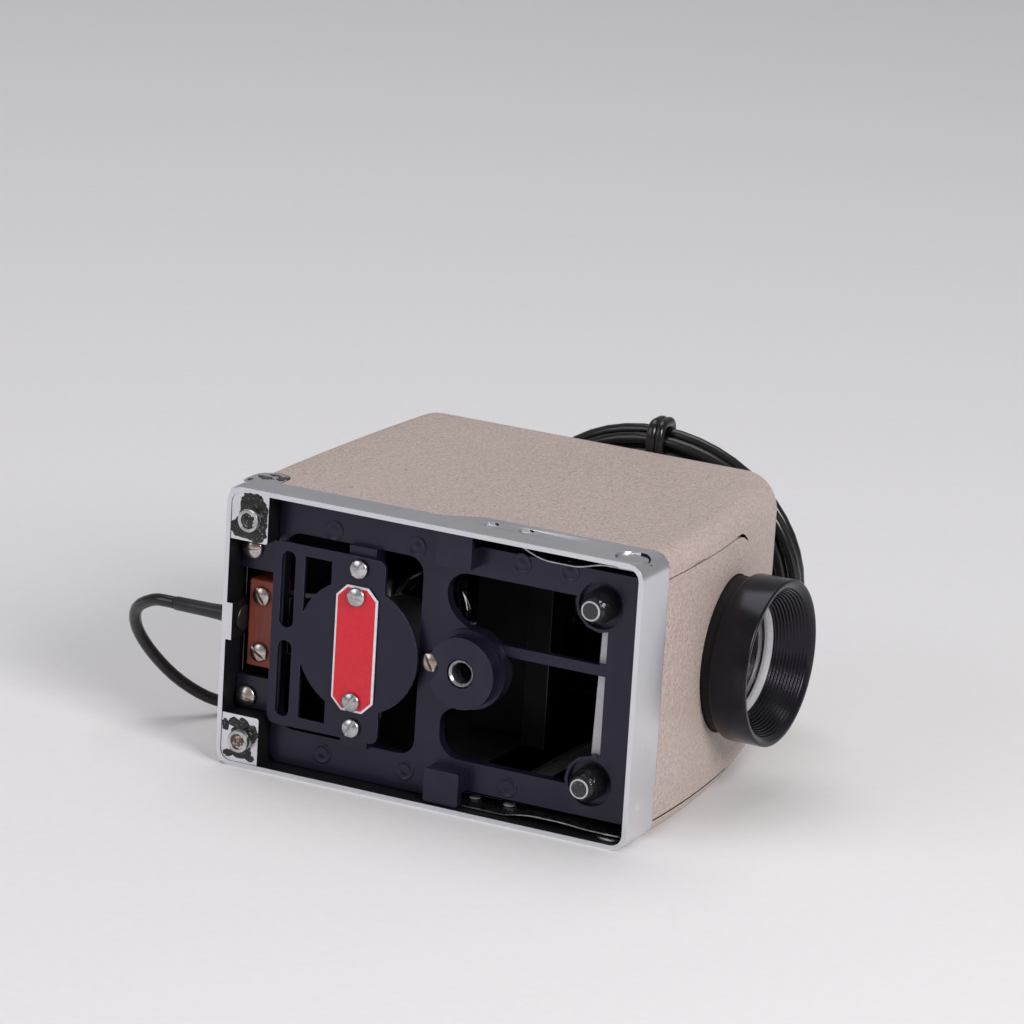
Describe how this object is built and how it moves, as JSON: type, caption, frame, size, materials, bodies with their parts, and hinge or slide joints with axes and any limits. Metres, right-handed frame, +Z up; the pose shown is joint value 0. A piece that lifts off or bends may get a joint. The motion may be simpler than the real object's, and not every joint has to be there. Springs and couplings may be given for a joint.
{
  "type": "slide projector",
  "caption": "Compact slide projector lying on its side: pressed housing on a bright base frame, open underside, turning focus lens, side latch buttons and a coiled mains cord.",
  "frame": {"origin": "middle of the footprint on the surface that the projector lies on, measured without the free cord and its plug", "axes": "+X towards the lens, +Y from the open underside to the top of the housing, +Z up; the projector lies on its left side, as in the picture, so +Z is its own right side"},
  "size_m": [0.1783, 0.159, 0.0866],
  "materials": {
    "housing_paint": "fine tan crinkle enamel",
    "polished_frame": "satin polished, worn at the corners",
    "black_casting": "satin black on cast metal",
    "blackened_sheet": "matt black",
    "black_anodised": "gloss black anodised",
    "red_enamel": "gloss red with a white border",
    "red_fibre": "pressed fibre",
    "nickel_plate": "nickel plated, slightly dulled",
    "steel": "bare spring steel",
    "silvered_metal": "silvered",
    "ceramic": "unglazed ceramic",
    "brass": "plain",
    "lens_glass": "clear, coated",
    "black_rubber": "satin",
    "cord_sheath": "glossy black sheath"
  },
  "bodies": {
    "root": {"base_frame": "polished_frame", "boss_screw": "nickel_plate", "chassis_deck": "black_casting", "chassis_screw_lower": "nickel_plate", "chassis_screw_upper": "nickel_plate", "condenser_frame": "black_casting", "condenser_lens_front": "lens_glass", "condenser_lens_rear": "lens_glass", "cord_coil": "cord_sheath", "cord_gland": "black_rubber", "cord_lead": "cord_sheath", "cord_plug": "black_rubber", "cord_tail": "cord_sheath", "cord_tie": "black_rubber", "foot_post_front_lower": "black_rubber", "foot_post_front_upper": "black_rubber", "foot_stud_rear_lower": "nickel_plate", "foot_stud_rear_upper": "nickel_plate", "front_strip": "polished_frame", "heat_glass": "lens_glass", "housing_shell": "housing_paint", "lamp_bulb": "lens_glass", "lamp_cap": "brass", "lamp_house_lower": "blackened_sheet", "lamp_house_upper": "blackened_sheet", "lamp_reflector": "silvered_metal", "lamp_socket": "ceramic", "latch_catch_lower": "steel", "latch_catch_upper": "steel", "latch_spring_lower": "steel", "latch_spring_upper": "steel", "lens_sleeve": "blackened_sheet", "plug_blade_1": "brass", "plug_blade_2": "brass", "rating_plate": "red_enamel", "rating_plate_screw_lower": "nickel_plate", "rating_plate_screw_upper": "nickel_plate", "reflector_bracket": "blackened_sheet", "shell_hook_lower": "steel", "shell_hook_upper": "steel", "slide_gate": "blackened_sheet", "spring_rivet_lower_1": "nickel_plate", "spring_rivet_lower_2": "nickel_plate", "spring_rivet_upper_1": "nickel_plate", "spring_rivet_upper_2": "nickel_plate", "terminal_block": "red_fibre", "terminal_screw_lower": "nickel_plate", "terminal_screw_upper": "nickel_plate", "tripod_bush": "steel", "vent_plate": "black_casting", "vent_plate_screw_lower": "nickel_plate", "vent_plate_screw_upper": "nickel_plate"},
    "focus_slide": {"lens_glass_front": "lens_glass", "lens_glass_rear": "lens_glass", "lens_tube": "blackened_sheet"},
    "focus_turn": {"lens_barrel": "black_anodised"},
    "button_upper": {"latch_button_upper": "nickel_plate"},
    "button_lower": {"latch_button_lower": "nickel_plate"}
  },
  "joints": [
    {"name": "lens_focus", "type": "slide", "parent": "root", "child": "focus_slide", "axis": [1, 0, 0], "range_m": [0, 0.012]},
    {"name": "barrel_turn", "type": "hinge", "parent": "focus_slide", "child": "focus_turn", "pos_m": [0.03885, 0.0072, 0.04], "axis": [1, 0, 0], "range_deg": [0, 270]},
    {"name": "latch_press_upper", "type": "slide", "parent": "root", "child": "button_upper", "axis": [0, 0, -1], "range_m": [0, 0.002], "stiffness_N_per_m": 1200, "springref_m": -0.0006, "deforming": ["latch_spring_upper"]},
    {"name": "latch_press_lower", "type": "slide", "parent": "root", "child": "button_lower", "axis": [0, 0, 1], "range_m": [0, 0.002], "stiffness_N_per_m": 1200, "springref_m": -0.0006, "deforming": ["latch_spring_lower"]}
  ],
  "couplings": [
    {"joint": "barrel_turn", "follows": "lens_focus", "rad_per_m": 392.7}
  ]
}
